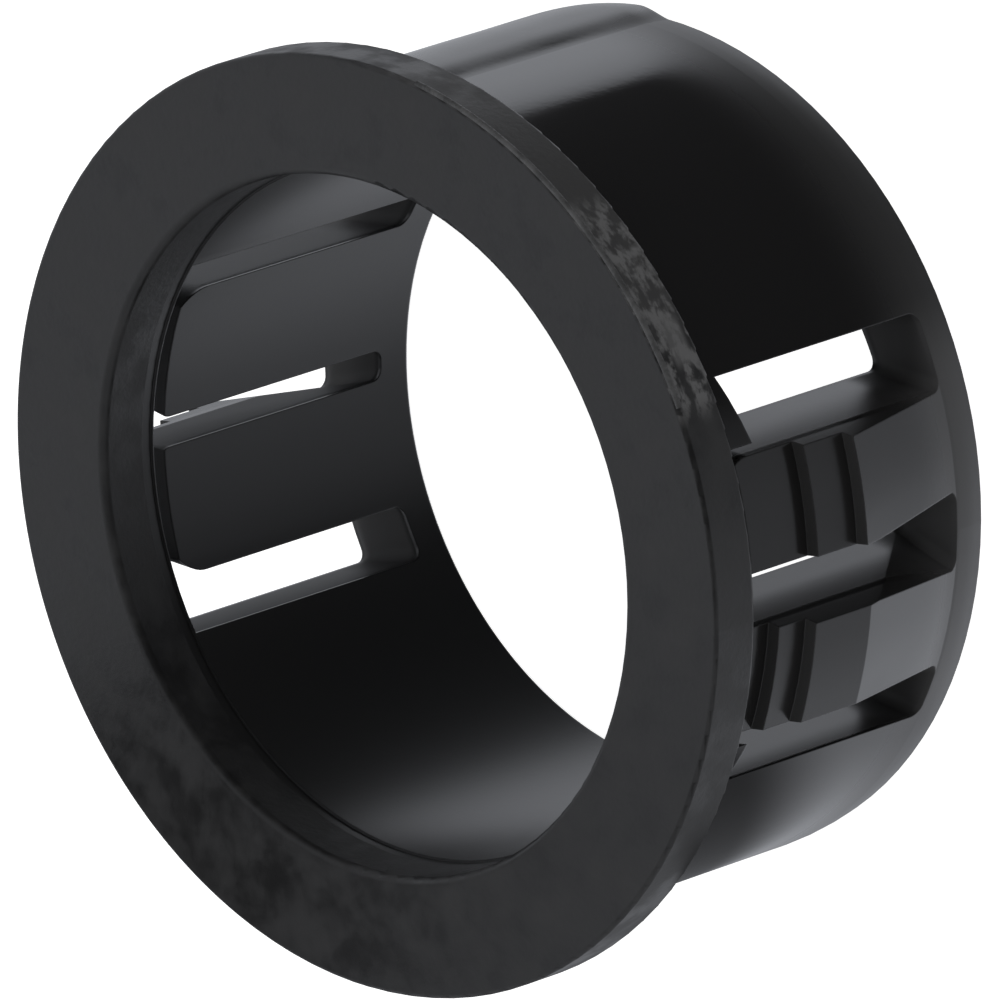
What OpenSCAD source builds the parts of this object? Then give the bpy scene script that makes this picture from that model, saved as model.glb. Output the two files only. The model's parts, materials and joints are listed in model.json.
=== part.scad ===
// Snap-in knockout bushing, moulded in one piece.
// The barrel passes down through a round knockout in a panel, the flange seats on the panel,
// and two pairs of snap fingers spring out behind it. The cable runs through the bore.
// The seating face of the flange lies at Z = 0, and +Z points out of the flange's front.
// The side cores of the mould draw along +X and -X, so the slots run along X.

/* [Flange] */
// Outside diameter of the flange
flange_d = 24.1; // [23.5:0.1:30]
// Thickness of the flange
flange_t = 1.4; // [0.8:0.1:3]
// Rounding of the flange's outer edges
flange_edge_r = 0.1; // [0.05:0.05:0.35]

/* [Barrel] */
// Outside diameter of the barrel
barrel_d = 21.8; // [21:0.1:22.1]
// Length of the barrel behind the flange
barrel_l = 9.6; // [8.5:0.1:14]
// Length of the rounded lead-in at the end of the barrel
lead_l = 0.9; // [0.5:0.1:0.9]
// How far the lead-in draws the outside in, on the radius
lead_in = 0.1; // [0.05:0.05:0.8]
// Rounding of the bore's rear edge
rear_edge_r = 0.1; // [0.05:0.05:0.4]

/* [Bore] */
// Diameter of the bore
bore_d = 17.8; // [16:0.1:18.6]
// Width of the ledge between the bore and the wider mouth in the flange
mouth_ledge = 0.06; // [0.05:0.01:0.4]
// How far the mouth reaches behind the flange's seating face
mouth_reach = 0.3; // [0:0.02:0.3]
// Rounding of the mouth's front edge
mouth_edge_r = 0.2; // [0.1:0.05:0.7]

/* [Slots] */
// Distance from the middle slot to the outer slot beside the thick-panel finger
thick_slot_y = 4.25; // [3.8:0.05:4.6]
// Distance from the middle slot to the outer slot beside the thin-panel finger
thin_slot_y = 4.4; // [3.8:0.05:4.6]
// Width of the middle slot where it meets the bore
middle_slot_w = 0.8; // [0.8:0.05:1.6]
// Width of the outer slot beside the thick-panel finger, at the bore
thick_slot_w = 1.25; // [0.8:0.05:1.6]
// Width of the outer slot beside the thin-panel finger, at the bore
thin_slot_w = 0.8; // [0.8:0.05:1.6]
// Draft of each flank of a slot, in degrees
slot_draft = 8; // [0:0.5:12]
// How far the slot beside the thick-panel finger leans away from the finger, in degrees
thick_slot_lean = 6; // [0:0.5:8]
// Draft of the middle slot's flanks at the roots of the fingers, in degrees
root_draft = 18; // [8:1:20]
// How fast that wider draft runs out towards the tips, in degrees
root_fade = 7.5; // [5:0.5:15]
// Rounding of the slot's rear corners
slot_corner_r = 0.3; // [0.1:0.05:0.35]
// Length of the collar between the flange and the slots
collar_l = 0.34; // [0.34:0.02:0.8]
// Slope of the collar's rear face at a slot, in degrees, which lengthens the collar outwards
collar_slope = 35; // [0:1:36]
// Length of the closed ring behind the slots
rear_ring_l = 1; // [1:0.1:2.5]

/* [Snap fingers] */
// Gap between the collar and the tip of a finger, at the bore
tip_gap = 0.1; // [0.1:0.05:0.5]
// Slope of a finger's tip, in degrees, which opens the gap outwards
tip_slope = 8; // [0:0.5:15]
// Rounding of the outer corner at a finger's tip
tip_corner_r = 1; // [0.2:0.05:1.2]
// Rounding of the corner at a finger's tip beside the middle slot
tip_notch_r = 0.5; // [0.2:0.05:1.2]
// How far the first level of a finger stands out from the barrel
tip_rise = 0.1; // [0:0.05:0.3]
// Height of each shoulder
shoulder_h = 0.36; // [0.2:0.02:0.45]
// Panel thickness gripped by the first shoulder of the thin-panel finger
thin_grip_1 = 1.65; // [1.2:0.05:2.1]
// Panel thickness gripped by the second shoulder of the thin-panel finger
thin_grip_2 = 2.6; // [2.2:0.05:4]
// Length of the level land behind the second shoulder of the thin-panel finger
thin_land = 2; // [0.2:0.1:3]
// Panel thickness gripped by the first shoulder of the thick-panel finger
thick_grip_1 = 3.05; // [2.4:0.05:3.6]
// Panel thickness gripped by the second shoulder of the thick-panel finger
thick_grip_2 = 4.45; // [3.8:0.05:5.5]

/* [Hidden] */
$fn = 144;

// Overlap that keeps joined and cut shapes from ending on the same surface
lap = 0.3;

flange_r = flange_d / 2;
barrel_r = barrel_d / 2;
bore_r = bore_d / 2;
mouth_r = bore_r + mouth_ledge;

// Heights of the ends of the slots, and of a finger's tip at the bore
slot_front = -collar_l;
slot_rear = -(barrel_l - rear_ring_l);
finger_tip = slot_front - tip_gap;

// Radii of the three levels of a finger
first_level = barrel_r + tip_rise;
second_level = first_level + shoulder_h;
top_level = second_level + shoulder_h;

// Distance from the X axis to the outer flank of each finger, at the bore
thick_flank = thick_slot_y - thick_slot_w / 2;
thin_flank = thin_slot_y - thin_slot_w / 2;

// Gap between a finger's outer flank and the collar's sloped face
ramp_gap = lap / 3;

// How far out the side cores reach, clear of the fingers
core_reach = top_level + 2 * lap;

// Furthest flank of the slots from the X axis, and how far in the side cores reach, clear of its wall
outer_flank = max(thick_slot_y + thick_slot_w / 2, thin_slot_y + thin_slot_w / 2);
core_start = sqrt(pow(bore_r, 2) - pow(outer_flank, 2)) - 2 * lap;

// Waste outside a rounded corner that sits at the origin, with the solid to its lower left
module corner_waste(r) {
    difference() {
        translate([-r, -r]) square(r + lap);
        translate([-r, -r]) circle(r);
    }
}

// Half section of the turned body: flange, collar, barrel and rear ring
module body_section() {
    difference() {
        union() {
            square([flange_r, flange_t]);
            translate([0, -barrel_l]) square([barrel_r, barrel_l + flange_t / 2]);
        }
        translate([-lap, -barrel_l - lap]) square([bore_r + lap, barrel_l + flange_t + 2 * lap]);
        translate([-lap, -mouth_reach]) square([mouth_r + lap, mouth_reach + flange_t + lap]);
        translate([flange_r, flange_t]) corner_waste(flange_edge_r);
        translate([flange_r, 0]) mirror([0, 1]) corner_waste(flange_edge_r);
        translate([mouth_r, flange_t]) mirror([1, 0]) corner_waste(mouth_edge_r);
        translate([bore_r, -barrel_l]) mirror([1, 0]) mirror([0, 1]) corner_waste(rear_edge_r);
        lead_in_waste();
    }
}

// Waste outside the rounded lead-in, in the half section: an arc that starts flush with the barrel
module lead_in_waste() {
    arc_r = (pow(lead_l, 2) + pow(lead_in, 2)) / (2 * lead_in);
    difference() {
        translate([barrel_r - 2 * lead_in, -barrel_l - lap]) square([2 * lead_in + lap, lead_l + lap]);
        translate([barrel_r - arc_r, -barrel_l + lead_l]) circle(arc_r);
    }
}

// Half section of a finger's outside before its ramp is cut: two shoulders that face the flange
module finger_section(grip_1, grip_2) {
    polygon([
        [barrel_r - lap, finger_tip + tip_gap / 2],
        [first_level, finger_tip + tip_gap / 2],
        [first_level, -grip_1],
        [second_level, -grip_1],
        [second_level, -grip_2],
        [top_level, -grip_2],
        [top_level, slot_rear],
        [barrel_r - lap, slot_rear]
    ]);
}

// Half section of what the ramp takes off, from the top level down to the finger's root
module ramp_waste(ramp_start) {
    polygon([
        [top_level, ramp_start],
        [barrel_r, slot_rear],
        [core_reach, slot_rear],
        [core_reach, ramp_start]
    ]);
}

// Turns a half section round Z, across one finger only: the thick one for side 1, the thin one for side -1
module across_finger(side) {
    intersection() {
        rotate_extrude() children();
        mirror([0, side < 0 ? 1 : 0, 0])
            translate([0, 0, -barrel_l])
                cube([core_reach + lap, (side > 0 ? thick_flank : thin_flank) + ramp_gap / 2, barrel_l]);
    }
}

// Outline of the open side of a slot's flank, seen along X, with the flank on the Y axis
module flank_outline(tip_r) {
    difference() {
        translate([-thin_slot_y, slot_rear]) square([thin_slot_y, slot_front - slot_rear]);
        translate([0, slot_rear]) mirror([0, 1]) corner_waste(slot_corner_r);
    }
    if (tip_r > 0) tip_flare(tip_r);
}

// Opening left beside the rounded corner of a finger's tip
module tip_flare(tip_r) {
    difference() {
        translate([-lap, finger_tip - tip_r]) square([tip_r + lap, tip_r + tip_gap]);
        translate([tip_r, finger_tip - tip_r]) circle(tip_r);
    }
}

// Outline of the wider opening at a finger's root, seen along X, which runs out towards the tip
module root_outline() {
    slot_l = slot_front - slot_rear;
    difference() {
        polygon([
            [0, slot_rear],
            [-slot_l * tan(root_fade), slot_front],
            [-thin_slot_y, slot_front],
            [-thin_slot_y, slot_rear]
        ]);
        translate([0, slot_rear]) mirror([0, 1]) corner_waste(slot_corner_r);
    }
}

// Draws an outline out through the wall, along a flank of the slot at Y = offset
module along_flank(offset, width, side, draft) {
    bore_x = sqrt(pow(bore_r, 2) - pow(abs(offset) + width / 2, 2));
    translate([bore_x, offset, 0])
        mirror([0, side < 0 ? 1 : 0, 0])
            translate([0, width / 2, 0])
                rotate(draft)
                    translate([-2 * lap, 0, 0])
                        rotate([90, 0, 90])
                            linear_extrude(core_reach - bore_x + 2 * lap) children();
}

// Space on the open side of one flank of the slot at Y = offset, which leans towards +Y.
// A flank that borders a finger has the rounding of the finger's tip, and other flanks have 0.
module flank(offset, width, lean, side, tip_r) {
    along_flank(offset, width, side, slot_draft + side * lean) flank_outline(tip_r);
}

// One slot through the wall, where the spaces on the open sides of its two flanks overlap
module slot(offset, width, lean, tip_below, tip_above) {
    intersection() {
        flank(offset, width, lean, -1, tip_below);
        flank(offset, width, lean, 1, tip_above);
    }
}

// The slot between two fingers, wider at their roots
module middle_slot() {
    slot(0, middle_slot_w, 0, tip_notch_r, tip_notch_r);
    intersection() {
        along_flank(0, middle_slot_w, -1, root_draft) root_outline();
        along_flank(0, middle_slot_w, 1, root_draft) root_outline();
    }
}

// One of the outer slots, which leaves the sloped rear face of the collar standing
module outer_slot(offset, width, lean) {
    difference() {
        slot(offset, width, lean, offset > 0 ? tip_corner_r : 0, offset < 0 ? tip_corner_r : 0);
        mirror([0, offset < 0 ? 1 : 0, 0]) collar_ramp(abs(offset), width);
    }
}

// Collar above its sloped rear face, on the wall's side of the finger next to an outer slot
module collar_ramp(offset, width) {
    bore_x = sqrt(pow(bore_r, 2) - pow(offset - width / 2, 2));
    reach = core_reach + lap;
    translate([0, core_reach, 0])
        rotate([90, 0, 0])
            linear_extrude(core_reach - (offset - width / 2 + ramp_gap))
                polygon([
                    [bore_x, slot_front],
                    [reach, slot_front - (reach - bore_x) * tan(collar_slope)],
                    [reach, slot_front + lap],
                    [bore_x, slot_front + lap]
                ]);
}

// Thin gap that frees the tips of two neighbouring fingers from the collar
module tip_slit() {
    drop = (core_reach - core_start) * tan(tip_slope);
    translate([0, thick_flank, 0])
        rotate([90, 0, 0])
            linear_extrude(thick_flank + thin_flank)
                polygon([
                    [core_start, slot_front],
                    [core_reach, slot_front],
                    [core_reach, finger_tip - drop],
                    [core_start, finger_tip]
                ]);
}

// Raised outsides of the two fingers on one side of the barrel
module finger_pads() {
    across_finger(1) finger_section(thick_grip_1, thick_grip_2);
    across_finger(-1) finger_section(thin_grip_1, thin_grip_2);
}

// What the ramps take off the two fingers on one side of the barrel
module finger_ramps() {
    across_finger(1) ramp_waste(-thick_grip_2);
    across_finger(-1) ramp_waste(-thin_grip_2 - thin_land);
}

// What the side core of the mould leaves open on one side of the barrel
module side_core() {
    outer_slot(thick_slot_y, thick_slot_w, thick_slot_lean);
    middle_slot();
    outer_slot(-thin_slot_y, thin_slot_w, 0);
    tip_slit();
}

module bushing() {
    color([0.1, 0.1, 0.11])
        difference() {
            union() {
                rotate_extrude() body_section();
                for (turn = [0, 180]) rotate(turn) finger_pads();
            }
            for (turn = [0, 180]) rotate(turn) finger_ramps();
            for (turn = [0, 180]) rotate(turn) side_core();
        }
}

bushing();
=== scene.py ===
# %% [markdown]
# # Snap-in knockout bushing
# This lesson dresses a small moulded bushing of black nylon for a product picture. The solid comes
# from CAD, already at its real size, so Blender adds only what CAD leaves out: the finish of the
# plastic, the fine marks that the mould leaves, the light and the camera.
# Everything is in metres, in the same frame as the solid: the flange seats at Z = 0, its front looks
# along +Z, and the slots lie along +X and -X.

# %% Load the solid
import json
import math

import bmesh
import bpy
from mathutils import Matrix, Vector


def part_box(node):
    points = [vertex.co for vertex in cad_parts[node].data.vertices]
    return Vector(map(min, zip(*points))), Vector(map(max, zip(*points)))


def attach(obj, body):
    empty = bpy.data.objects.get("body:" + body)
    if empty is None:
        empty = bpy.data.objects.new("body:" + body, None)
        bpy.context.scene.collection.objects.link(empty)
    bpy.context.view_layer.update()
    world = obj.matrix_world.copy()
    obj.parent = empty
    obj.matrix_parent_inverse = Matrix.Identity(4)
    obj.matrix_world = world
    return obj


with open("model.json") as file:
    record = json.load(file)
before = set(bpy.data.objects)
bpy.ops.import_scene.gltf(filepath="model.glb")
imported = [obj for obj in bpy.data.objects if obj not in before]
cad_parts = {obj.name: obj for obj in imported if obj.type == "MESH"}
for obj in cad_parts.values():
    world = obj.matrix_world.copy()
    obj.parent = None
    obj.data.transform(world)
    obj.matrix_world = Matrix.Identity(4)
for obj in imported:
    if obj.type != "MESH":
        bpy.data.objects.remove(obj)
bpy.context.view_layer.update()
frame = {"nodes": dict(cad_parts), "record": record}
MM = 0.001
bushing = frame["nodes"]["bushing"]
low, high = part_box("bushing")
print("bushing:", len(bushing.data.polygons), "triangles,", [round(s / MM, 2) for s in high - low], "mm")

# %% [markdown]
# ## Sizes to lean on
# The frame gives the outer box, and the record gives the bore. The barrel's radius and its rounded
# lead-in are sizes of the same solid: the barrel is a little smaller than a 22.2 mm knockout.
# Marks and masks below are placed from these few numbers.

# %% Sizes
FLANGE_R = high.x
FLANGE_FRONT = high.z
REAR_END = low.z
BORE_R = frame["record"]["mounts"][0]["dims"]["r_mm"] * MM
BARREL_R = 10.9 * MM
LEAD_START = REAR_END + 0.9 * MM
LEAD_ARC_R = 4.1 * MM
print("radius of flange", FLANGE_R / MM, "barrel", BARREL_R / MM, "bore", BORE_R / MM, "mm")
print("front at", FLANGE_FRONT / MM, "mm, rear end at", REAR_END / MM, "mm")

# %% [markdown]
# ## The camera
# A product picture of a small part is taken from far away with a long lens, so that near and far
# edges keep the same scale. The camera looks down on the flange from one side and is rolled, which
# makes the bushing seem to lie on its side. It is described by angles round an aim point: the same
# words that a photographer would use, and easier to change than a matrix.

# %% Camera
VIEW_AZIMUTH = math.radians(25.32)
VIEW_ELEVATION = math.radians(43.56)
VIEW_ROLL = math.radians(-108.12)
VIEW_DISTANCE = 498 * MM
VIEW_AIM = Vector((2.37, 0.66, -1.13)) * MM
VIEW_LENS = 723
CLIP_START = 0.01
CLIP_END = 10
UP_Z = Vector((0, 0, 1))

to_camera = Vector((
    math.cos(VIEW_ELEVATION) * math.cos(VIEW_AZIMUTH),
    math.cos(VIEW_ELEVATION) * math.sin(VIEW_AZIMUTH),
    math.sin(VIEW_ELEVATION),
))


def camera_axes():
    """Right, up and back of the camera, in the part's frame."""
    level_up = (UP_Z - to_camera.z * to_camera).normalized()
    level_right = level_up.cross(to_camera)
    up = math.cos(VIEW_ROLL) * level_up - math.sin(VIEW_ROLL) * level_right
    return up.cross(to_camera), up, to_camera


view_right, view_up, view_back = camera_axes()
camera_data = bpy.data.cameras.new("photo_camera")
camera_data.lens = VIEW_LENS
camera_data.clip_start = CLIP_START
camera_data.clip_end = CLIP_END
camera = bpy.data.objects.new("photo_camera", camera_data)
bpy.context.scene.collection.objects.link(camera)
turn = Matrix((view_right, view_up, view_back)).transposed().to_4x4()
camera.matrix_world = Matrix.Translation(VIEW_AIM + VIEW_DISTANCE * to_camera) @ turn
bpy.context.scene.camera = camera
bpy.context.scene.view_settings.view_transform = "Standard"
print("camera at", [round(c / MM) for c in camera.matrix_world.translation], "mm, lens", VIEW_LENS, "mm")

# %% [markdown]
# ## Helpers for node trees
# Shader trees and geometry trees are long when every node and link is a line of its own. One helper
# adds a node, sets its properties and fills its inputs: an input is either a plain value or another
# node's output. The others give the steps that come back all the time: arithmetic, smooth ramps and
# bands for masks, and mixes of two numbers or two colours.


# %% Node helpers
def add_node(tree, kind, inputs=None, **properties):
    """Adds a node. inputs maps an input's name or number to a value, or to a socket to link."""
    node = tree.nodes.new(kind)
    for name, value in properties.items():
        setattr(node, name, value)
    for name, value in (inputs or {}).items():
        if isinstance(value, bpy.types.NodeSocket):
            tree.links.new(value, node.inputs[name])
        else:
            node.inputs[name].default_value = value
    return node


def math_node(tree, operation, first, second=0.0):
    """One step of arithmetic, as the socket that holds its result."""
    return add_node(tree, "ShaderNodeMath", {0: first, 1: second}, operation=operation).outputs[0]


def dot_node(tree, vector, direction):
    """How far a vector reaches along a direction."""
    sockets = {0: vector, 1: tuple(direction)}
    return add_node(tree, "ShaderNodeVectorMath", sockets, operation="DOT_PRODUCT").outputs["Value"]


def product(tree, *factors):
    """All the factors multiplied, for masks that have to hold at the same time."""
    result = factors[0]
    for factor in factors[1:]:
        result = math_node(tree, "MULTIPLY", result, factor)
    return result


def largest(tree, *values):
    """The largest of the values, for lights and masks that lie over each other."""
    result = values[0]
    for value in values[1:]:
        result = math_node(tree, "MAXIMUM", result, value)
    return result


def ramp_node(tree, value, start, end, low_value=0.0, high_value=1.0):
    """A smooth step from low_value at start to high_value at end."""
    sockets = {
        "Value": value,
        "From Min": start,
        "From Max": end,
        "To Min": low_value,
        "To Max": high_value,
    }
    node = add_node(tree, "ShaderNodeMapRange", sockets, interpolation_type="SMOOTHSTEP")
    return node.outputs["Result"]


def band(tree, value, start, end, soft):
    """1 between start and end, with soft shoulders outside them."""
    rise = ramp_node(tree, value, start - soft, start)
    fall = ramp_node(tree, value, end + soft, end)
    return product(tree, rise, fall)


def blend(tree, share, first, second):
    """The number first where share is 0, second where it is 1."""
    return add_node(tree, "ShaderNodeMix", {0: share, 2: first, 3: second}).outputs[0]


def blend_colours(tree, share, first, second):
    """The colour first where share is 0, second where it is 1."""
    return add_node(tree, "ShaderNodeMix", {0: share, 6: first, 7: second}, data_type="RGBA").outputs[2]


def new_material(name):
    """An empty node material, and its tree."""
    material = bpy.data.materials.new(name)
    material.use_nodes = True
    material.node_tree.nodes.clear()
    return material, material.node_tree


# %% [markdown]
# ## The studio
# Black plastic shows almost nothing of its own colour: what the eye reads as its shape is the room
# mirrored in it. The picture has a white sweep behind the part and a dim room on the camera's side, so
# the barrel is nearly black where it mirrors the room and bright where it turns towards the sweep.
# The world is the white sweep for the camera, and a plain fill for the light that the plastic scatters.

# %% World
FILL_LEVEL = 0.6
WHITE = (1, 1, 1, 1)
world = bpy.data.worlds.new("white_sweep")
bpy.context.scene.world = world
world.use_nodes = True
tree = world.node_tree
tree.nodes.clear()
path = add_node(tree, "ShaderNodeLightPath")
seen_by = ("Is Camera Ray", "Is Glossy Ray", "Is Transmission Ray")
seen = largest(tree, *(path.outputs[kind] for kind in seen_by))
strength = ramp_node(tree, seen, 0, 1, FILL_LEVEL, 1.0)
sky = add_node(tree, "ShaderNodeBackground", {"Color": WHITE, "Strength": strength})
add_node(tree, "ShaderNodeOutputWorld", {"Surface": sky.outputs[0]})
print("white world, fill level", FILL_LEVEL)


# %% [markdown]
# ## Floor
# The bushing stands on its rear end, on pale paper that keeps its soft shadow. Most of the paper's
# white comes from a glow that only the camera sees, so the paper throws no extra light on the part.
# Mirror rays pass the paper and meet the room below instead. No glow of the studio is a lamp, so Cycles
# is told not to aim rays at it, which saves time.

# %% Floor
def stage_object(name, material, build):
    """A piece of the studio, whose mesh is filled in by build(bm)."""
    bm = bmesh.new()
    build(bm)
    mesh = bpy.data.meshes.new(name)
    bm.to_mesh(mesh)
    bm.free()
    mesh.materials.append(material)
    material.cycles.emission_sampling = "NONE"
    piece = bpy.data.objects.new(name, mesh)
    bpy.context.scene.collection.objects.link(piece)
    return piece


FLOOR_SIZE = 2.0
FLOOR_GLOW = 0.9
FLOOR_GREY = (0.85, 0.85, 0.85, 1)
paper, tree = new_material("pale_paper")
path = add_node(tree, "ShaderNodeLightPath")
glow = add_node(tree, "ShaderNodeEmission", {"Color": WHITE, "Strength": FLOOR_GLOW})
matte = add_node(tree, "ShaderNodeBsdfDiffuse", {"Color": FLOOR_GREY})
both = add_node(tree, "ShaderNodeAddShader", {0: glow.outputs[0], 1: matte.outputs[0]})
seen = largest(tree, path.outputs["Is Camera Ray"], path.outputs["Is Transmission Ray"])
mixed = add_node(tree, "ShaderNodeMixShader", {0: seen, 1: matte.outputs[0], 2: both.outputs[0]})
add_node(tree, "ShaderNodeOutputMaterial", {"Surface": mixed.outputs[0]})


def floor_sheet(bm):
    """One square at the height of the rear end."""
    at_rear = Matrix.Translation((0, 0, REAR_END))
    bmesh.ops.create_grid(bm, x_segments=1, y_segments=1, size=FLOOR_SIZE, matrix=at_rear)


floor = stage_object("floor", paper, floor_sheet)
floor.visible_glossy = False
print("floor at", REAR_END / MM, "mm")

# %% [markdown]
# ## The room in the mirror
# A photographer places white boards and dark flags where the part mirrors them. Here they are soft
# patches of light on the inside of a dome that only mirror rays see. Each patch is a ramp on how far
# a point lies towards a direction, so it has a place, a size and a soft edge, and they can be tuned
# one by one: the sweep behind the part with a bright strip along its edge, a large board at the right,
# a small bright one low on the right, one behind on the right, the table below, and a fill on the left
# for the flange's face.

# %% Patches of light in the room
ROOM_R = 0.4
ROOM_DARK = 0.06
ROOM_LIGHT = (0.95, 0.98, 1.05, 1)
SWEEP_LEVEL = 0.62
STRIP_LEVEL = 0.5
walls, tree = new_material("dim_walls")
room_point = add_node(tree, "ShaderNodeTexCoord").outputs["Object"]


def towards(right, up, back):
    """How far a point of the room lies towards a direction given in the camera's axes, from -1 to 1."""
    direction = (right * view_right + up * view_up + back * view_back).normalized()
    return dot_node(tree, room_point, direction / ROOM_R)


def board(direction, edge, full, level):
    """A soft patch of light round a direction: nothing at its edge, its full level further in."""
    return ramp_node(tree, towards(*direction), edge, full, 0.0, level)


behind = towards(-0.25, 0, -0.97)
sweep = ramp_node(tree, behind, start=0.495, end=0.545, low_value=ROOM_DARK, high_value=SWEEP_LEVEL)
strip_start = ramp_node(tree, behind, start=0.5, end=0.6)
strip_end = ramp_node(tree, behind, start=0.91, end=0.64, high_value=STRIP_LEVEL)
sweep = math_node(tree, "ADD", sweep, product(tree, strip_start, strip_end))
sweep_top = ramp_node(tree, towards(0, 1, 0), start=-0.4, end=-0.05, low_value=0.7)
sweep = product(tree, sweep, sweep_top)
right_board = board((0.93, -0.36, 0), edge=0.7, full=0.93, level=0.4)
low_board = board((0.76, -0.24, -0.6), edge=0.91, full=0.975, level=1.1)
rear_board = board((0.93, 0.05, -0.36), edge=0.92, full=0.975, level=0.5)
near_table = ramp_node(tree, behind, start=0.82, end=0.5, low_value=0.65)
table = product(tree, near_table, board((0, -0.906, -0.423), edge=-0.25, full=0.5, level=0.55))
left_fill = board((-1, 0, 0), edge=0.3, full=0.95, level=0.57)
level = largest(tree, sweep, right_board, low_board, rear_board, table, left_fill)
glow = add_node(tree, "ShaderNodeEmission", {"Color": ROOM_LIGHT, "Strength": level})
add_node(tree, "ShaderNodeOutputMaterial", {"Surface": glow.outputs[0]})
print("room patches in", walls.name)

# %% [markdown]
# ## The dome itself
# The patches are painted on a sphere round the part. A sphere is enough, because the directions do the
# work. It is hidden from all but mirror rays, so the camera still sees the white world.


# %% Room dome
def room_dome(bm):
    """A sphere round the part."""
    bmesh.ops.create_uvsphere(bm, u_segments=64, v_segments=32, radius=ROOM_R)


def mirror_only(piece):
    """Hides a piece of the studio from everything but mirror rays."""
    piece.visible_camera = False
    piece.visible_diffuse = False
    piece.visible_transmission = False
    piece.visible_shadow = False


room = stage_object("dim_room", walls, room_dome)
mirror_only(room)
print("room dome of radius", ROOM_R, "m")

# %% [markdown]
# ## A card under the barrel
# Low on the barrel the part mirrors the table right below it, and close to the flange that table lies
# in the flange's shadow. A small card stands for it. It lies close under the barrel, dark near the
# flange and paler towards the rear, and its free side fades out. Only mirror rays see it, so it throws
# no shadow.


# %% Card under the barrel
def shade_card(name, material, middle, across, along):
    """A flat card round a middle point, reaching across and along to both sides of it."""
    def sheet(bm):
        front = (middle - across - along, middle + across - along)
        back = (middle + across + along, middle - across + along)
        bm.faces.new([bm.verts.new(corner) for corner in front + back])

    card = stage_object(name, material, sheet)
    mirror_only(card)
    print(name, "at", [round(c / MM, 1) for c in middle], "mm")


LOWEST_TURN = math.radians(-64.6)
CARD_GAP = 0.08 * MM
CARD_DARK = 0.13
CARD_PALE = 0.8
CARD_DARK_UP_TO = 5.5 * MM
CARD_PALE_FROM = 9.8 * MM
CARD_SLANT = 0.2
CARD_SOLID_UP_TO = 6 * MM
CARD_CLEAR_FROM = 8 * MM
CARD_MIDDLE_SIDE = 2 * MM
CARD_MIDDLE_Z = -6.2 * MM
CARD_HALF = 6 * MM
outward = Vector((math.cos(LOWEST_TURN), math.sin(LOWEST_TURN), 0))
round_barrel = Vector((-outward.y, outward.x, 0))
graded_paper, tree = new_material("graded_shade")
card_point = add_node(tree, "ShaderNodeTexCoord").outputs["Object"]
card_side = dot_node(tree, card_point, round_barrel)
card_rear = dot_node(tree, card_point, CARD_SLANT * round_barrel - UP_Z)
card_level = ramp_node(tree, card_rear, CARD_DARK_UP_TO, CARD_PALE_FROM, CARD_DARK, CARD_PALE)
glow = add_node(tree, "ShaderNodeEmission", {"Color": ROOM_LIGHT, "Strength": card_level})
clear = add_node(tree, "ShaderNodeBsdfTransparent")
solid = ramp_node(tree, card_side, CARD_CLEAR_FROM, CARD_SOLID_UP_TO)
soft_card = add_node(tree, "ShaderNodeMixShader", {0: solid, 1: clear.outputs[0], 2: glow.outputs[0]})
add_node(tree, "ShaderNodeOutputMaterial", {"Surface": soft_card.outputs[0]})
under_barrel = outward * (BARREL_R + CARD_GAP) + round_barrel * CARD_MIDDLE_SIDE + UP_Z * CARD_MIDDLE_Z
shade_card("shade_under_barrel", graded_paper, under_barrel, round_barrel * CARD_HALF, UP_Z * CARD_HALF)

# %% [markdown]
# ## A card for the flange's lower edge
# The lowest part of the flange's face mirrors the table where it lies in the flange's shade. A second
# card, a painted shadow, hangs where a mirror ray from there goes: the way to the camera, mirrored in
# the flat face. It is plain and dark.

# %% Card below the flange
# Level of the dark glow that stands for the table's shadow below the flange
CORNER_LEVEL = 0.05
CORNER_HALF = 5 * MM
CORNER_AWAY = 9 * MM
FACE_SPOT = Vector((-4.6, -9.8, 1.4)) * MM
plain_paper, tree = new_material("plain_shade")
glow = add_node(tree, "ShaderNodeEmission", {"Color": ROOM_LIGHT, "Strength": CORNER_LEVEL})
add_node(tree, "ShaderNodeOutputMaterial", {"Surface": glow.outputs[0]})
mirrored = 2 * to_camera.z * UP_Z - to_camera
below_flange = FACE_SPOT + mirrored * CORNER_AWAY
aside = mirrored.cross(view_up).normalized()
upwards = aside.cross(mirrored).normalized()
shade_card("shade_below_flange", plain_paper, below_flange, aside * CORNER_HALF, upwards * CORNER_HALF)

# %% [markdown]
# ## Two effects that the finishes share
# Moulded plastic is never quite even. Two small shader groups serve the finishes below. The first turns
# a point into the part's own terms: how far it is from the axis, at which turn round it and how high.
# The second gives the mottled grain of a mould face. Groups keep the material trees short, and a change
# in one place reaches every finish that uses them.


# %% Shader groups
def shader_group(name, inputs, outputs):
    """An empty shader group with float outputs. Returns its tree, its input node and its output node."""
    group = bpy.data.node_groups.new(name, "ShaderNodeTree")
    for socket, kind in inputs.items():
        group.interface.new_socket(name=socket, in_out="INPUT", socket_type=kind)
    for socket in outputs:
        group.interface.new_socket(name=socket, in_out="OUTPUT", socket_type="NodeSocketFloat")
    return group, add_node(group, "NodeGroupInput"), add_node(group, "NodeGroupOutput")


axis_inputs = {"Point": "NodeSocketVector"}
around_axis, start, end = shader_group("around_the_axis", axis_inputs, ("Radius", "Turn", "Height"))
parts = add_node(around_axis, "ShaderNodeSeparateXYZ", {0: start.outputs["Point"]})
flat = add_node(around_axis, "ShaderNodeCombineXYZ", {"X": parts.outputs["X"], "Y": parts.outputs["Y"]})
length = add_node(around_axis, "ShaderNodeVectorMath", {0: flat.outputs[0]}, operation="LENGTH")
turn_angle = math_node(around_axis, "ARCTAN2", parts.outputs["Y"], parts.outputs["X"])
around_axis.links.new(length.outputs["Value"], end.inputs["Radius"])
around_axis.links.new(math_node(around_axis, "DEGREES", turn_angle), end.inputs["Turn"])
around_axis.links.new(parts.outputs["Z"], end.inputs["Height"])

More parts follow.
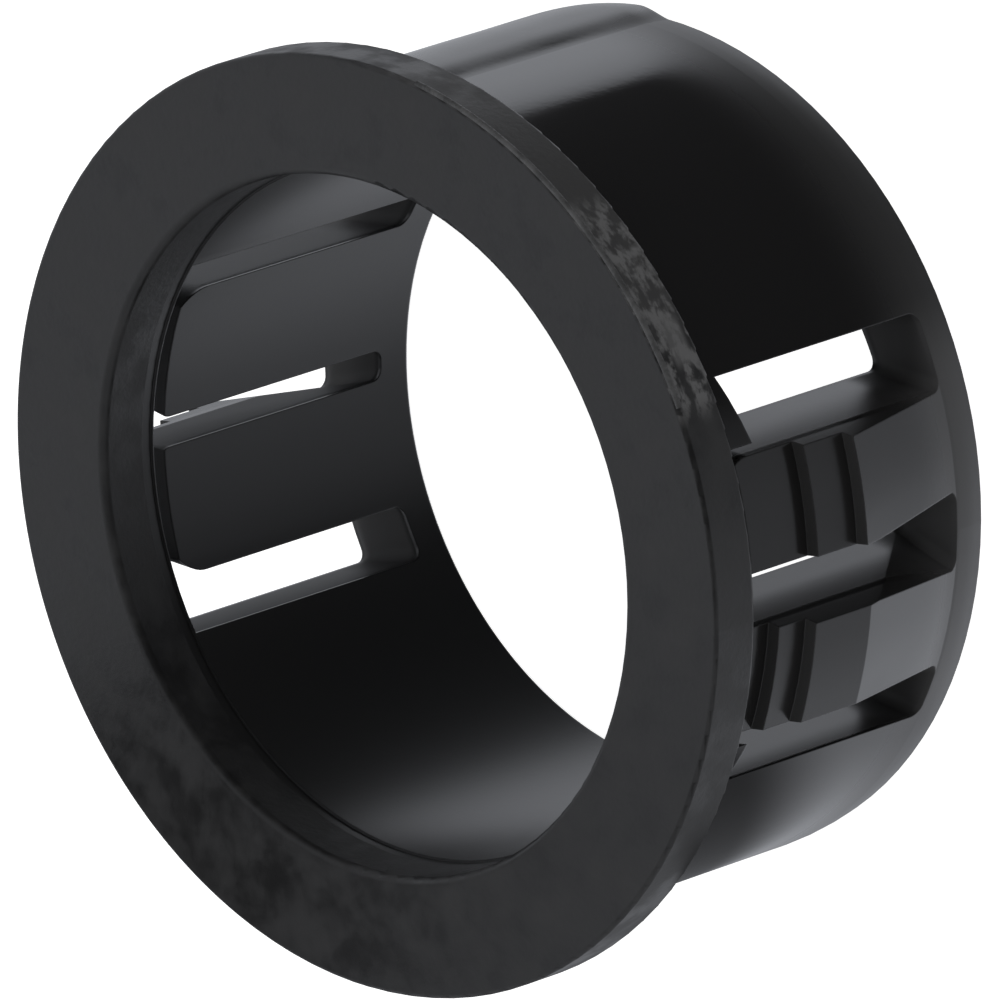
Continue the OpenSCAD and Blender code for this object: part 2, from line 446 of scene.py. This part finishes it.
NOISE_ROUGHNESS = 0.6
NOISE_LOW = 0.3
NOISE_HIGH = 0.7
grain_inputs = {
    "Point": "NodeSocketVector",
    "Patch Size": "NodeSocketFloat",
    "Grain Size": "NodeSocketFloat",
}
mould_grain, start, end = shader_group("mould_grain", grain_inputs, ("Patches", "Grain"))
for output, size, detail in (("Patches", "Patch Size", 4), ("Grain", "Grain Size", 2)):
    noise = add_node(mould_grain, "ShaderNodeTexNoise", {
        "Vector": start.outputs["Point"],
        "Scale": math_node(mould_grain, "DIVIDE", 1.0, start.outputs[size]),
        "Detail": detail,
        "Roughness": NOISE_ROUGHNESS,
    })
    stretched = ramp_node(mould_grain, noise.outputs["Fac"], NOISE_LOW, NOISE_HIGH)
    mould_grain.links.new(stretched, end.inputs[output])
print("groups:", around_axis.name, "and", mould_grain.name)


# %% [markdown]
# ## Groups in a material
# A material places a group as one node. Two helpers do it and hand back the sockets that are needed, so
# that a finish reads as a short list of masks.


# %% Placing the groups
def place_on_part(tree):
    """Object coordinates, and the radius, turn in degrees and height of a point."""
    point = add_node(tree, "ShaderNodeTexCoord").outputs["Object"]
    cylinder = add_node(tree, "ShaderNodeGroup", node_tree=around_axis)
    tree.links.new(point, cylinder.inputs["Point"])
    return point, cylinder.outputs["Radius"], cylinder.outputs["Turn"], cylinder.outputs["Height"]


def grain_on_part(tree, point, patch_size, grain_size):
    """Patches and fine grain of the two given sizes in metres."""
    node = add_node(tree, "ShaderNodeGroup", node_tree=mould_grain)
    tree.links.new(point, node.inputs["Point"])
    node.inputs["Patch Size"].default_value = patch_size
    node.inputs["Grain Size"].default_value = grain_size
    return node.outputs["Patches"], node.outputs["Grain"]


PATCH_SIZE = 1.3 * MM
GRAIN_SIZE = 0.16 * MM
nylon, tree = new_material("black_nylon_finish")
point, radius, turn_deg, height = place_on_part(tree)
patches, grain = grain_on_part(tree, point, PATCH_SIZE, GRAIN_SIZE)
print("patches of", PATCH_SIZE / MM, "mm and grain of", GRAIN_SIZE / MM, "mm")

# %% [markdown]
# ## Where the finish changes
# One material dresses the whole moulding, because it is one piece of nylon, but the mould's steel is
# not the same all over. The flange's face comes from a rough surface and is matte and mottled. The
# barrel comes from polished steel and shines. The bore lies between the two, and the slots keep the
# dull skin of the cores. Each zone is a mask from the radius and the height, and the shoulders of the
# fingers are found by the way they face.

# %% Zones of the moulding
WALL_MARGIN = 0.15 * MM
WALL_SOFT = 0.1 * MM
on_flange = ramp_node(tree, height, start=-0.02 * MM, end=0.02 * MM)
at_edge = ramp_node(tree, radius, start=FLANGE_R - 0.12 * MM, end=FLANGE_R - 0.04 * MM)
on_rim = product(tree, on_flange, at_edge)
in_bore = ramp_node(tree, radius, start=BORE_R + 0.3 * MM, end=BORE_R + 0.1 * MM)
behind_collar = ramp_node(tree, height, start=-0.3 * MM, end=-0.4 * MM)
in_wall = band(tree, radius, BORE_R + WALL_MARGIN, BARREL_R - WALL_MARGIN, WALL_SOFT)
before_end = ramp_node(tree, height, start=REAR_END + 0.3 * MM, end=REAR_END + 0.5 * MM)
in_slot = product(tree, in_wall, behind_collar, before_end)
at_ring = ramp_node(tree, height, start=REAR_END + 4 * MM, end=REAR_END + 0.2 * MM)

sides = add_node(tree, "ShaderNodeSeparateXYZ", {0: point})
second_side = ramp_node(tree, sides.outputs["X"], start=1 * MM, end=-1 * MM)
away_from_axis = math_node(tree, "ABSOLUTE", sides.outputs["X"])
beside_slots = ramp_node(tree, away_from_axis, start=9.2 * MM, end=10.2 * MM)
surface_normal = add_node(tree, "ShaderNodeTexCoord").outputs["Normal"]
facing = add_node(tree, "ShaderNodeSeparateXYZ", {0: surface_normal})
near_outside = ramp_node(tree, radius, start=BARREL_R - 0.3 * MM, end=BARREL_R - 0.1 * MM)
facing_front = ramp_node(tree, facing.outputs["Z"], start=0.5, end=0.7)
on_shoulder = product(tree, behind_collar, near_outside, facing_front)
past_barrel = ramp_node(tree, radius, start=BARREL_R + 0.02 * MM, end=BARREL_R + 0.15 * MM)
on_pad = product(tree, behind_collar, past_barrel)
print("zones: flange, rim, bore, slots, rear ring, shoulders and pads of the fingers")

# %% [markdown]
# ## Scuffs on the rim
# Where the bushing was pushed about in a bin, the rim is scuffed: short pale patches along one stretch of
# it, one worn spot, and a dull haze further on. The patches are noise on the unrolled rim, cut off by a
# threshold so that each has an edge. A mask keeps them on that stretch. Turns are in degrees.

# %% Scuffs
SCUFF_FROM = 28
SCUFF_TO = 52
SCUFF_SOFT = 4
WORN_FROM = 32.5
WORN_TO = 36.5
WORN_SOFT = 2
WORN_LOW = 0.35 * MM
WORN_HIGH = 0.8 * MM
WORN_SOFT_HEIGHT = 0.2 * MM
HAZE_FROM = 40
HAZE_TO = 82
HAZE_SOFT = 9
SPOT_SIZE = 0.55 * MM
SPOT_FLATTEN = 1.6
METRES_PER_DEGREE = FLANGE_R * math.pi / 180
along_rim = math_node(tree, "MULTIPLY", turn_deg, METRES_PER_DEGREE)
up_rim = math_node(tree, "MULTIPLY", height, SPOT_FLATTEN)
unrolled = add_node(tree, "ShaderNodeCombineXYZ", {"X": along_rim, "Y": up_rim})
spots = add_node(tree, "ShaderNodeTexNoise", {
    "Vector": unrolled.outputs[0],
    "Scale": 1 / SPOT_SIZE,
    "Detail": 4,
    "Roughness": NOISE_ROUGHNESS,
})
spot_mask = ramp_node(tree, spots.outputs["Fac"], start=0.42, end=0.6)
scuff = product(tree, on_rim, band(tree, turn_deg, SCUFF_FROM, SCUFF_TO, SCUFF_SOFT), spot_mask)
worn_turn = band(tree, turn_deg, WORN_FROM, WORN_TO, WORN_SOFT)
worn_height = band(tree, height, WORN_LOW, WORN_HIGH, WORN_SOFT_HEIGHT)
worn_spots = ramp_node(tree, spot_mask, 0, 1, low_value=0.65)
scuff = largest(tree, scuff, product(tree, on_rim, worn_turn, worn_height, worn_spots))
haze = product(tree, on_rim, band(tree, turn_deg, HAZE_FROM, HAZE_TO, HAZE_SOFT))
print("scuffs from", SCUFF_FROM, "to", SCUFF_TO, "degrees, haze to", HAZE_TO)

# %% [markdown]
# ## Gloss of the nylon
# Each zone now chooses its roughness, one blend after the other: polished barrel, duller ring at the rear,
# satin pads and bore, dull slots, matte face. The slots on the -X side are seen through the bore and show
# no mirror image, so they are rougher than those on the +X side.

# %% Gloss
POLISH_REAR = -4 * MM
POLISH_FRONT = -0.5 * MM
BARREL_ROUGH_REAR = 0.07
BARREL_ROUGH_FRONT = 0.12
RING_ROUGH = 0.4
PAD_ROUGH = 0.24
BORE_ROUGH = 0.32
SLOT_ROUGH = 0.3
FAR_SLOT_ROUGH = 0.6
SLOT_END_ROUGH = 0.7
FACE_ROUGH_LOW = 0.4
FACE_ROUGH_HIGH = 0.6
RUBBED_ROUGH = 0.6
shell_rough = ramp_node(tree, height, POLISH_REAR, POLISH_FRONT, BARREL_ROUGH_REAR, BARREL_ROUGH_FRONT)
shell_rough = blend(tree, at_ring, shell_rough, RING_ROUGH)
shell_rough = blend(tree, on_pad, shell_rough, PAD_ROUGH)
shell_rough = blend(tree, in_bore, shell_rough, BORE_ROUGH)
slot_rough = ramp_node(tree, second_side, 0, 1, SLOT_ROUGH, FAR_SLOT_ROUGH)
slot_end = ramp_node(tree, height, start=REAR_END + 2.4 * MM, end=REAR_END + 1.5 * MM)
slot_rough = blend(tree, slot_end, slot_rough, SLOT_END_ROUGH)
shell_rough = blend(tree, in_slot, shell_rough, slot_rough)
face_rough = ramp_node(tree, patches, 0, 1, FACE_ROUGH_LOW, FACE_ROUGH_HIGH)
roughness = blend(tree, on_flange, shell_rough, face_rough)
roughness = blend(tree, largest(tree, scuff, on_shoulder), roughness, RUBBED_ROUGH)
print("roughness from", BARREL_ROUGH_REAR, "on the barrel to", SLOT_END_ROUGH, "in the slots")

# %% [markdown]
# ## Colour of the nylon
# Black nylon is dark grey where its skin is dull and nearly black where it shines. The mottled patches
# lighten the flange a little. Haze lies on part of the rim and in the slots. The shoulders of the fingers
# face the flange and lie in its shade, so the same grey on them is painted light; the pads get a little
# of it, partly their satin skin and partly painted light. The rear ring grows lighter towards its end,
# most of all behind the fingers. The scuffs are palest.

# %% Colour
NYLON_DARK = (0.0086, 0.0082, 0.0082, 1)
NYLON_PALE = (0.028, 0.0278, 0.0283, 1)
# Grey of the haze, also painted light on the shoulders and pads of the fingers
NYLON_HAZE_AND_PAINTED_LIGHT = (0.044, 0.0435, 0.044, 1)
# Lighter grey for the rear ring behind the fingers
NYLON_RING_BEHIND_FINGERS = (0.075, 0.0745, 0.076, 1)
NYLON_RUBBED = (0.12, 0.12, 0.122, 1)
SLOT_AND_PAD_SHARE = 0.28
PAD_SHARE = 0.5
RING_LIGHTENING_SHARE = 0.8
# The rear ring grows lighter towards its end
nearer_rear_end = product(tree, at_ring, at_ring)
# Painted light on the pads, partly their satin skin, and the haze of the slots
pad_light_and_slot_haze = product(tree, largest(tree, product(tree, on_pad, PAD_SHARE), in_slot), SLOT_AND_PAD_SHARE)
ring_lightening = product(tree, nearer_rear_end, RING_LIGHTENING_SHARE, math_node(tree, "SUBTRACT", 1.0, in_bore))
# Haze on the rim and in the slots, painted light on the shoulders and pads, and the lighter rear ring
haze_and_painted_light = largest(tree, haze, on_shoulder, pad_light_and_slot_haze, ring_lightening)
shade = blend_colours(tree, product(tree, patches, on_flange), NYLON_DARK, NYLON_PALE)
shade = blend_colours(tree, haze_and_painted_light, shade, NYLON_HAZE_AND_PAINTED_LIGHT)
# Lighter still on the rear ring behind the fingers
shade = blend_colours(tree, product(tree, nearer_rear_end, beside_slots), shade, NYLON_RING_BEHIND_FINGERS)
shade = blend_colours(tree, scuff, shade, NYLON_RUBBED)
print("nylon from", NYLON_DARK[:3], "to", NYLON_RUBBED[:3])

# %% [markdown]
# ## Skin of the nylon
# A Bevel node rounds the shading of every edge, as the mould's own small radii do, without more geometry.
# On the flanks of the -X slots it is wider, for the soft shading that the picture shows there. The grain
# goes in as a faint bump, strongest on the flange. One Principled shader takes it all.

# %% Black nylon
NYLON_IOR = 1.53
EDGE_R = 0.05 * MM
SOFT_EDGE_R = 0.4 * MM
GRAIN_DEPTH = 0.02 * MM
GRAIN_STRENGTH = 0.12
SHELL_GRAIN = 0.15
behind_tips = ramp_node(tree, height, start=-0.9 * MM, end=-1.6 * MM)
soft_flank = product(tree, second_side, in_slot, behind_tips)
edge_r = ramp_node(tree, soft_flank, 0, 1, EDGE_R, SOFT_EDGE_R)
soft_edge = add_node(tree, "ShaderNodeBevel", {"Radius": edge_r}, samples=6)
skin_bump = add_node(tree, "ShaderNodeBump", {
    "Strength": GRAIN_STRENGTH,
    "Distance": GRAIN_DEPTH,
    "Height": product(tree, grain, ramp_node(tree, on_flange, 0, 1, low_value=SHELL_GRAIN)),
    "Normal": soft_edge.outputs[0],
})
skin = add_node(tree, "ShaderNodeBsdfPrincipled", {
    "Base Color": shade,
    "Roughness": roughness,
    "IOR": NYLON_IOR,
    "Normal": skin_bump.outputs[0],
})
add_node(tree, "ShaderNodeOutputMaterial", {"Surface": skin.outputs[0]})
bushing.data.materials[0] = nylon
print("finish on", bushing.name)

# %% [markdown]
# ## Marks of the mould, as geometry
# Two fine marks are real shapes, so they are meshes: a soft step along the barrel where the halves of
# the mould met, and a rough bead of flash on the flange's front edge. Both follow a path, so Geometry
# Nodes make them: a tree with named sizes can be tuned without touching a vertex. Each tree's result is
# then turned into a plain mesh.


# %% Geometry tree helpers
def geometry_tree(name, inputs):
    """An empty geometry tree with named inputs, and its input node's sockets."""
    tree = bpy.data.node_groups.new(name, "GeometryNodeTree")
    for socket, kind in inputs.items():
        tree.interface.new_socket(name=socket, in_out="INPUT", socket_type=kind)
    tree.interface.new_socket(name="Geometry", in_out="OUTPUT", socket_type="NodeSocketGeometry")
    return tree, add_node(tree, "NodeGroupInput").outputs


def close_tree(tree, geometry, material):
    """Realizes, sets the material and gives the geometry out."""
    real = add_node(tree, "GeometryNodeRealizeInstances", {"Geometry": geometry})
    sockets = {"Geometry": real.outputs[0], "Material": material}
    dressed = add_node(tree, "GeometryNodeSetMaterial", sockets)
    add_node(tree, "NodeGroupOutput", {"Geometry": dressed.outputs[0]})


def edge_counts(mesh):
    """How many faces meet at each edge. A closed shape has two everywhere."""
    counts = dict.fromkeys((edge.key for edge in mesh.edges), 0)
    for face in mesh.polygons:
        for key in face.edge_keys:
            counts[key] += 1
    return counts.values()


def grown_piece(name, tree, sizes, skin_depth=0.0):
    """Makes a plain mesh from a geometry tree. A skin_depth closes an open sheet into a thin solid."""
    source = bpy.data.objects.new(name + "_source", bpy.data.meshes.new(name + "_source"))
    bpy.context.scene.collection.objects.link(source)
    modifier = source.modifiers.new("grow", "NODES")
    modifier.node_group = tree
    for socket in tree.interface.items_tree:
        if socket.in_out == "INPUT":
            modifier[socket.identifier] = sizes[socket.name]
    if skin_depth:
        closing = source.modifiers.new("close", "SOLIDIFY")
        closing.thickness = skin_depth
        closing.offset = -1
    depsgraph = bpy.context.evaluated_depsgraph_get()
    mesh = bpy.data.meshes.new_from_object(source.evaluated_get(depsgraph))
    bpy.data.objects.remove(source)
    mesh.name = name
    piece = bpy.data.objects.new(name, mesh)
    bpy.context.scene.collection.objects.link(piece)
    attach(piece, "root")
    print(name + ":", len(mesh.polygons), "faces, closed:", all(n == 2 for n in edge_counts(mesh)))


def noise_at(tree, vector, size, seed, detail):
    """Noise from 0 to 1 at a place, with patches of the given size."""
    scale = math_node(tree, "DIVIDE", 1.0, size)
    sockets = {"Vector": vector, "W": seed, "Scale": scale, "Detail": detail}
    return add_node(tree, "ShaderNodeTexNoise", sockets, noise_dimensions="4D").outputs[0]


# %% [markdown]
# ## The step where the mould closed
# One half of the mould stood a hair prouder than the other, which leaves a soft step along the barrel
# and a small kink in its outline. A flat grid is rolled round the barrel: its narrow side rises to the
# full height, and its wide side fades back into the barrel. Its edges dip just below the surface. The
# other parting line, half a turn away, gets the same.

# %% Step: the grid and its height
SHEET_SINK = 0.015 * MM
WOBBLE_SIZE = 2.5 * MM
WOBBLE_LOW = 0.95
WOBBLE_HIGH = 1.05
step_tree, given = geometry_tree("mould_step", {
    "Barrel Radius": "NodeSocketFloat",
    "Start Turn": "NodeSocketFloat",
    "Step Width": "NodeSocketFloat",
    "Full Width": "NodeSocketFloat",
    "Rise": "NodeSocketFloat",
    "Length": "NodeSocketFloat",
    "Lead Start": "NodeSocketFloat",
    "Lead Arc": "NodeSocketFloat",
    "Seed": "NodeSocketFloat",
    "Material": "NodeSocketMaterial",
})
grid = add_node(step_tree, "GeometryNodeMeshGrid", {
    "Size X": given["Full Width"],
    "Size Y": given["Length"],
    "Vertices X": 65,
    "Vertices Y": 97,
})
spot = add_node(step_tree, "GeometryNodeInputPosition").outputs[0]
spot_parts = add_node(step_tree, "ShaderNodeSeparateXYZ", {0: spot})
half_width = math_node(step_tree, "MULTIPLY", given["Full Width"], 0.5)
across = math_node(step_tree, "ADD", spot_parts.outputs["X"], half_width)
half_length = math_node(step_tree, "MULTIPLY", given["Length"], 0.5)
up_z = math_node(step_tree, "SUBTRACT", spot_parts.outputs["Y"], half_length)
climb = ramp_node(step_tree, across, 0.0, given["Step Width"])
fade = ramp_node(step_tree, across, given["Full Width"], given["Step Width"])
uneven = noise_at(step_tree, spot, WOBBLE_SIZE, given["Seed"], detail=1.0)
wobble = ramp_node(step_tree, uneven, 0.2, 0.8, WOBBLE_LOW, WOBBLE_HIGH)
rise = product(step_tree, climb, fade, wobble, given["Rise"])
print("step tree:", len(step_tree.nodes), "nodes so far")

# %% [markdown]
# ## Rolling the grid round the barrel
# Where the barrel's rounded lead-in begins, the sheet has to drop with it. A shallow arc falls by the
# square of the way into it, over twice its radius. Then the place across the grid becomes a turn round
# the axis, and the height above the barrel becomes a radius.

# %% Step: rolled and closed
past_lead = math_node(step_tree, "SUBTRACT", given["Lead Start"], up_z)
into_lead = math_node(step_tree, "MAXIMUM", past_lead, 0.0)
half_curve = math_node(step_tree, "DIVIDE", 0.5, given["Lead Arc"])
lead_drop = product(step_tree, into_lead, into_lead, half_curve)
reach = math_node(step_tree, "ADD", given["Barrel Radius"], rise)
reach = math_node(step_tree, "SUBTRACT", reach, lead_drop)
reach = math_node(step_tree, "SUBTRACT", reach, SHEET_SINK)
roll = math_node(step_tree, "DIVIDE", across, given["Barrel Radius"])
roll = math_node(step_tree, "ADD", roll, given["Start Turn"])
rolled = add_node(step_tree, "ShaderNodeCombineXYZ", {
    "X": product(step_tree, reach, math_node(step_tree, "COSINE", roll)),
    "Y": product(step_tree, reach, math_node(step_tree, "SINE", roll)),
    "Z": up_z,
})
placing = {"Geometry": grid.outputs[0], "Position": rolled.outputs[0]}
sheet = add_node(step_tree, "GeometryNodeSetPosition", placing)
smooth = add_node(step_tree, "GeometryNodeSetShadeSmooth", {"Geometry": sheet.outputs[0]})
half_turn = {"Geometry": smooth.outputs[0], "Rotation": (0, 0, math.pi)}
turned = add_node(step_tree, "GeometryNodeTransform", half_turn)
pair = add_node(step_tree, "GeometryNodeJoinGeometry")
step_tree.links.new(smooth.outputs[0], pair.inputs[0])
step_tree.links.new(turned.outputs[0], pair.inputs[0])
close_tree(step_tree, pair.outputs[0], given["Material"])
grown_piece("mould_step", step_tree, {
    "Barrel Radius": BARREL_R,
    "Start Turn": math.radians(88.1),
    "Step Width": 1.2 * MM,
    "Full Width": 6 * MM,
    "Rise": 0.22 * MM,
    "Length": -REAR_END - 0.03 * MM,
    "Lead Start": LEAD_START,
    "Lead Arc": LEAD_ARC_R,
    "Seed": 4.0,
    "Material": nylon,
}, skin_depth=0.1 * MM)

# %% [markdown]
# ## Torn flash
# Flash is plastic that crept into the gap of the mould and was rubbed off again. It is paler than the
# moulding, partly from its torn skin and partly as a painted highlight along the flange's front edge.
# The finish uses the same grain group as the nylon, with smaller patches, a finer grain and a stronger
# bump.

# %% Flash finish
FLASH_DARK = (0.045, 0.045, 0.046, 1)
# Pale grey, partly the torn skin and partly a painted highlight along the front edge
FLASH_PALE_AND_HIGHLIGHT = (0.1, 0.1, 0.102, 1)
FLASH_ROUGH_LOW = 0.4
FLASH_ROUGH_HIGH = 0.6
FLASH_PATCH = 0.5 * MM
FLASH_GRAIN = 0.09 * MM
FLASH_STRENGTH = 0.5
flash_skin_and_highlight, tree = new_material("torn_flash_with_painted_highlight")
point = add_node(tree, "ShaderNodeTexCoord").outputs["Object"]
patches, grain = grain_on_part(tree, point, FLASH_PATCH, FLASH_GRAIN)
torn_bump = add_node(tree, "ShaderNodeBump", {
    "Strength": FLASH_STRENGTH,
    "Distance": GRAIN_DEPTH,
    "Height": grain,
})
skin = add_node(tree, "ShaderNodeBsdfPrincipled", {
    "Base Color": blend_colours(tree, patches, FLASH_DARK, FLASH_PALE_AND_HIGHLIGHT),
    "Roughness": ramp_node(tree, grain, 0, 1, FLASH_ROUGH_LOW, FLASH_ROUGH_HIGH),
    "IOR": NYLON_IOR,
    "Normal": torn_bump.outputs[0],
})
add_node(tree, "ShaderNodeOutputMaterial", {"Surface": skin.outputs[0]})
print("finish:", flash_skin_and_highlight.name)

# %% [markdown]
# ## A bead of flash on the front edge
# The bead runs along part of the flange's front edge, thick here and thin there. An arc is the path,
# noise sets its thickness from point to point, and it fades out at both ends. It stays below the
# flange's face.

# %% Flash bead
BEAD_NOISE = 0.7 * MM
THINNEST = 0.05
bead_tree, given = geometry_tree("flash_bead", {
    "Path Radius": "NodeSocketFloat",
    "Path Height": "NodeSocketFloat",
    "Start Turn": "NodeSocketFloat",
    "Sweep": "NodeSocketFloat",
    "Bead Radius": "NodeSocketFloat",
    "Seed": "NodeSocketFloat",
    "Material": "NodeSocketMaterial",
})
arc = add_node(bead_tree, "GeometryNodeCurveArc", {
    "Resolution": 420,
    "Radius": given["Path Radius"],
    "Start Angle": given["Start Turn"],
    "Sweep Angle": given["Sweep"],
})
lift = add_node(bead_tree, "ShaderNodeCombineXYZ", {"Z": given["Path Height"]})
lifting = {"Geometry": arc.outputs[0], "Offset": lift.outputs[0]}
lifted = add_node(bead_tree, "GeometryNodeSetPosition", lifting)
along = add_node(bead_tree, "GeometryNodeSplineParameter").outputs["Factor"]
first_end = ramp_node(bead_tree, along, start=0, end=0.1)
last_end = ramp_node(bead_tree, along, start=1, end=0.8)
spot = add_node(bead_tree, "GeometryNodeInputPosition").outputs[0]
uneven = noise_at(bead_tree, spot, BEAD_NOISE, given["Seed"], detail=3.0)
swelling = ramp_node(bead_tree, uneven, NOISE_LOW, NOISE_HIGH, low_value=0.5)
thickness = product(bead_tree, first_end, last_end, swelling)
thickness = math_node(bead_tree, "MAXIMUM", thickness, THINNEST)
thickening = {"Curve": lifted.outputs[0], "Radius": thickness}
path_curve = add_node(bead_tree, "GeometryNodeSetCurveRadius", thickening)
profile = {"Resolution": 10, "Radius": given["Bead Radius"]}
ring = add_node(bead_tree, "GeometryNodeCurvePrimitiveCircle", profile)
bead = add_node(bead_tree, "GeometryNodeCurveToMesh", {
    "Curve": path_curve.outputs[0],
    "Profile Curve": ring.outputs[0],
    "Fill Caps": True,
})
close_tree(bead_tree, bead.outputs[0], given["Material"])
grown_piece("flash_bead", bead_tree, {
    "Path Radius": FLANGE_R - 0.02 * MM,
    "Path Height": FLANGE_FRONT - 0.09 * MM,
    "Start Turn": math.radians(27),
    "Sweep": math.radians(54),
    "Bead Radius": 0.08 * MM,
    "Seed": 2.0,
    "Material": flash_skin_and_highlight,
})
